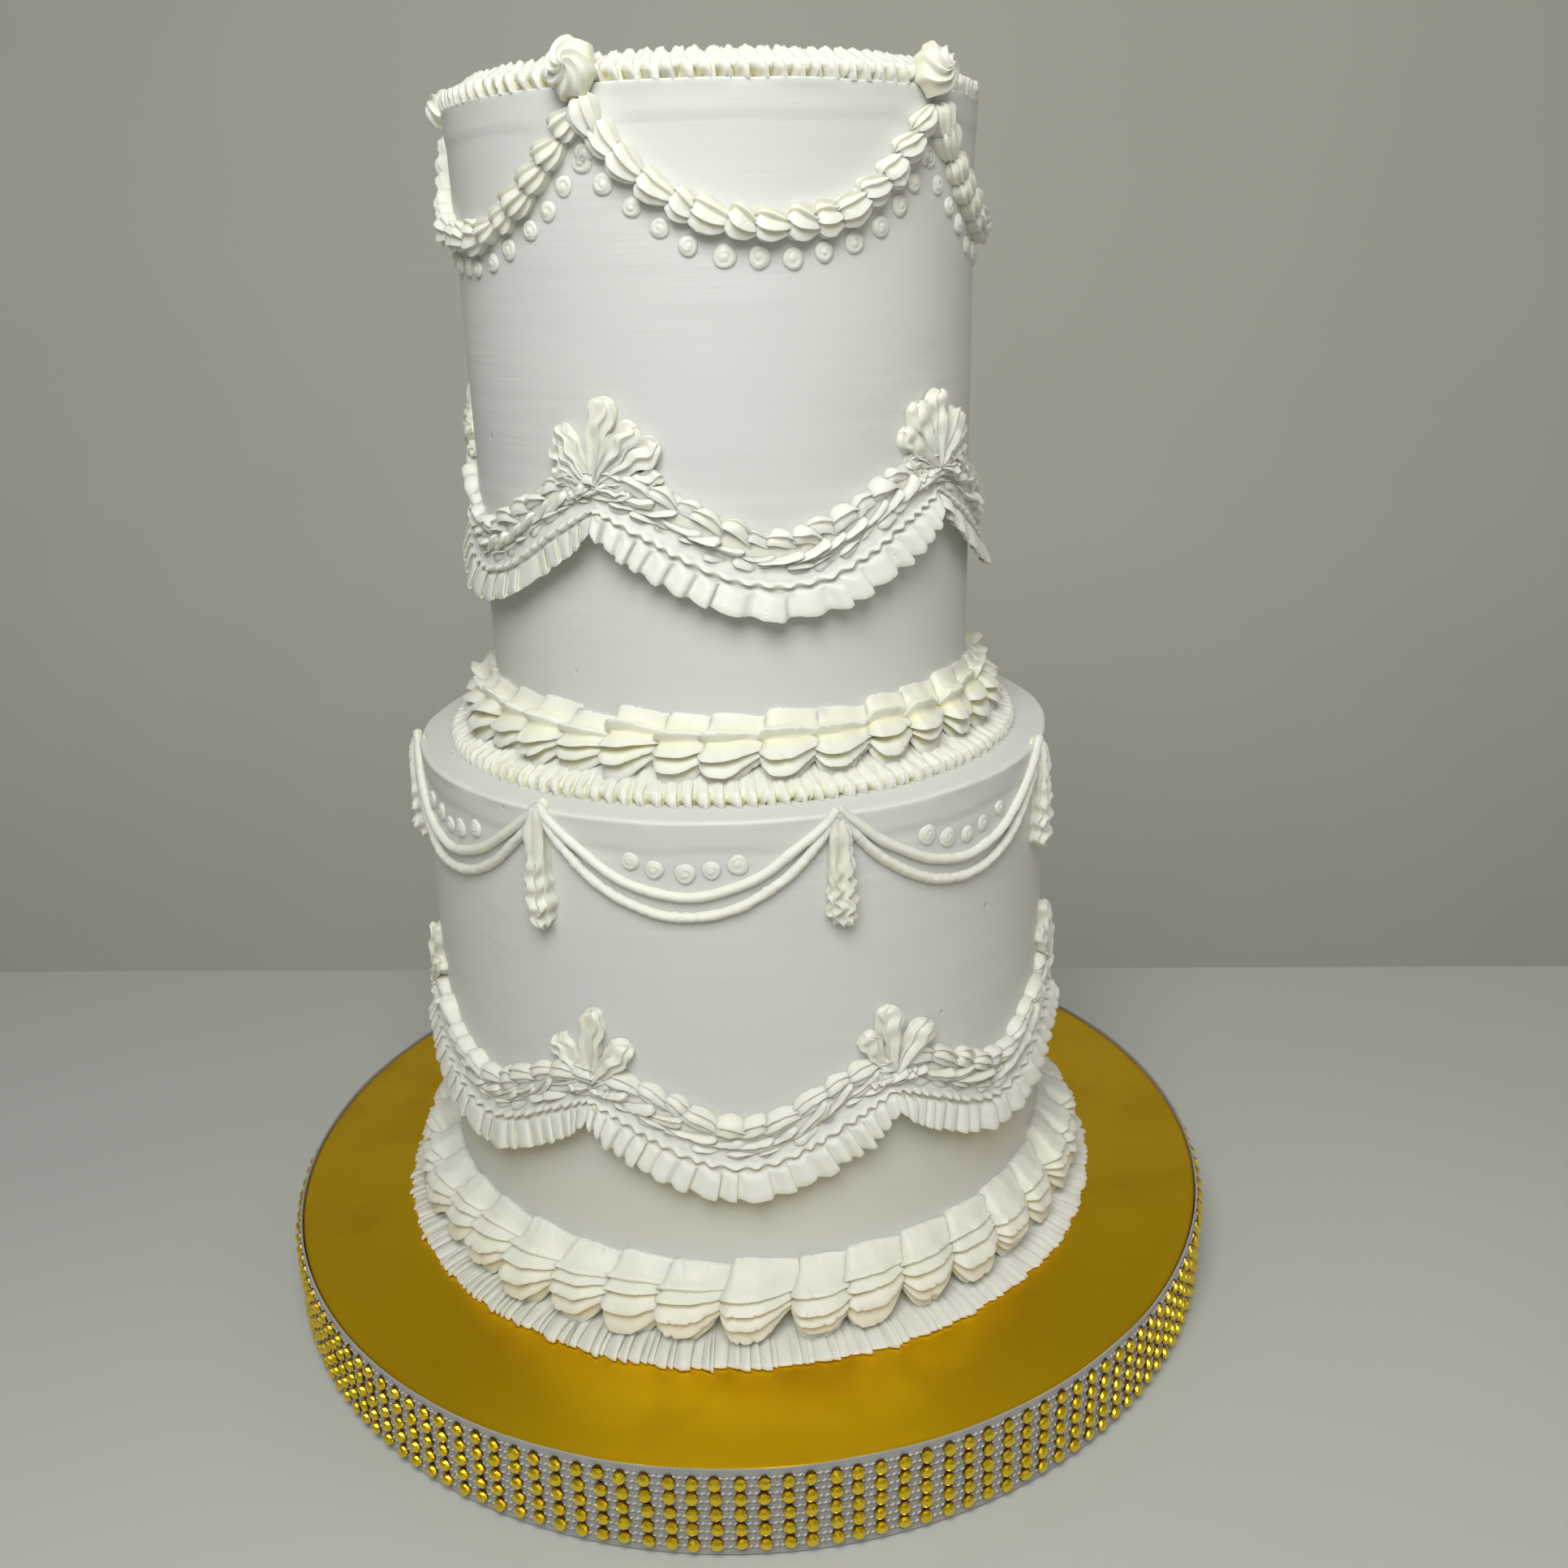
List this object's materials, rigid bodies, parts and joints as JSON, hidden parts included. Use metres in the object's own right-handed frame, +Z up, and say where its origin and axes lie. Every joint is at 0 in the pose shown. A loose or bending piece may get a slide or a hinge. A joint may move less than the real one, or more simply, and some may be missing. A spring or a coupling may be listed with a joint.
{
  "type": "tiered wedding cake",
  "caption": "Round two-tier ivory buttercream cake with piped shell borders, garlands, fans, tassels and pleated swags, on a thick gold foil board with a jewelled ribbon edge.",
  "frame": {"origin": "middle of the board's underside, on the table", "axes": "+Z up along the cake's axis, the pictured front towards -Y, +X to the right"},
  "size_m": [0.3174, 0.3174, 0.3749],
  "materials": {
    "buttercream": "smoothed ivory buttercream, soft satin",
    "piped_buttercream": "piped ivory buttercream, soft satin",
    "gold_foil": "smooth satin gold foil paper",
    "jewelled_ribbon": "pale grey woven ribbon with rows of gold faceted stones",
    "gold_stones": "gold-coated faceted stones"
  },
  "bodies": {
    "root": {"board": "gold_foil", "board_ribbon": "jewelled_ribbon", "lower_tier": "buttercream", "upper_tier": "buttercream", "lower_base_frill": "piped_buttercream", "lower_base_shells": "piped_buttercream", "upper_base_frill": "piped_buttercream", "upper_base_shells": "piped_buttercream", "top_rim_border": "piped_buttercream", "rosette_1": "piped_buttercream", "upper_garland_1": "piped_buttercream", "upper_fan_1": "piped_buttercream", "upper_swag_1": "piped_buttercream", "rosette_2": "piped_buttercream", "upper_garland_2": "piped_buttercream", "upper_fan_2": "piped_buttercream", "upper_swag_2": "piped_buttercream", "rosette_3": "piped_buttercream", "upper_garland_3": "piped_buttercream", "upper_fan_3": "piped_buttercream", "upper_swag_3": "piped_buttercream", "rosette_4": "piped_buttercream", "upper_garland_4": "piped_buttercream", "upper_fan_4": "piped_buttercream", "upper_swag_4": "piped_buttercream", "rosette_5": "piped_buttercream", "upper_garland_5": "piped_buttercream", "upper_fan_5": "piped_buttercream", "upper_swag_5": "piped_buttercream", "tassel_1": "piped_buttercream", "string_swag_1": "piped_buttercream", "lower_fan_1": "piped_buttercream", "lower_swag_1": "piped_buttercream", "tassel_2": "piped_buttercream", "string_swag_2": "piped_buttercream", "lower_fan_2": "piped_buttercream", "lower_swag_2": "piped_buttercream", "tassel_3": "piped_buttercream", "string_swag_3": "piped_buttercream", "lower_fan_3": "piped_buttercream", "lower_swag_3": "piped_buttercream", "tassel_4": "piped_buttercream", "string_swag_4": "piped_buttercream", "lower_fan_4": "piped_buttercream", "lower_swag_4": "piped_buttercream", "tassel_5": "piped_buttercream", "string_swag_5": "piped_buttercream", "lower_fan_5": "piped_buttercream", "lower_swag_5": "piped_buttercream", "tassel_6": "piped_buttercream", "string_swag_6": "piped_buttercream", "lower_fan_6": "piped_buttercream", "lower_swag_6": "piped_buttercream", "tassel_7": "piped_buttercream", "string_swag_7": "piped_buttercream", "lower_fan_7": "piped_buttercream", "lower_swag_7": "piped_buttercream"}
  },
  "joints": []
}
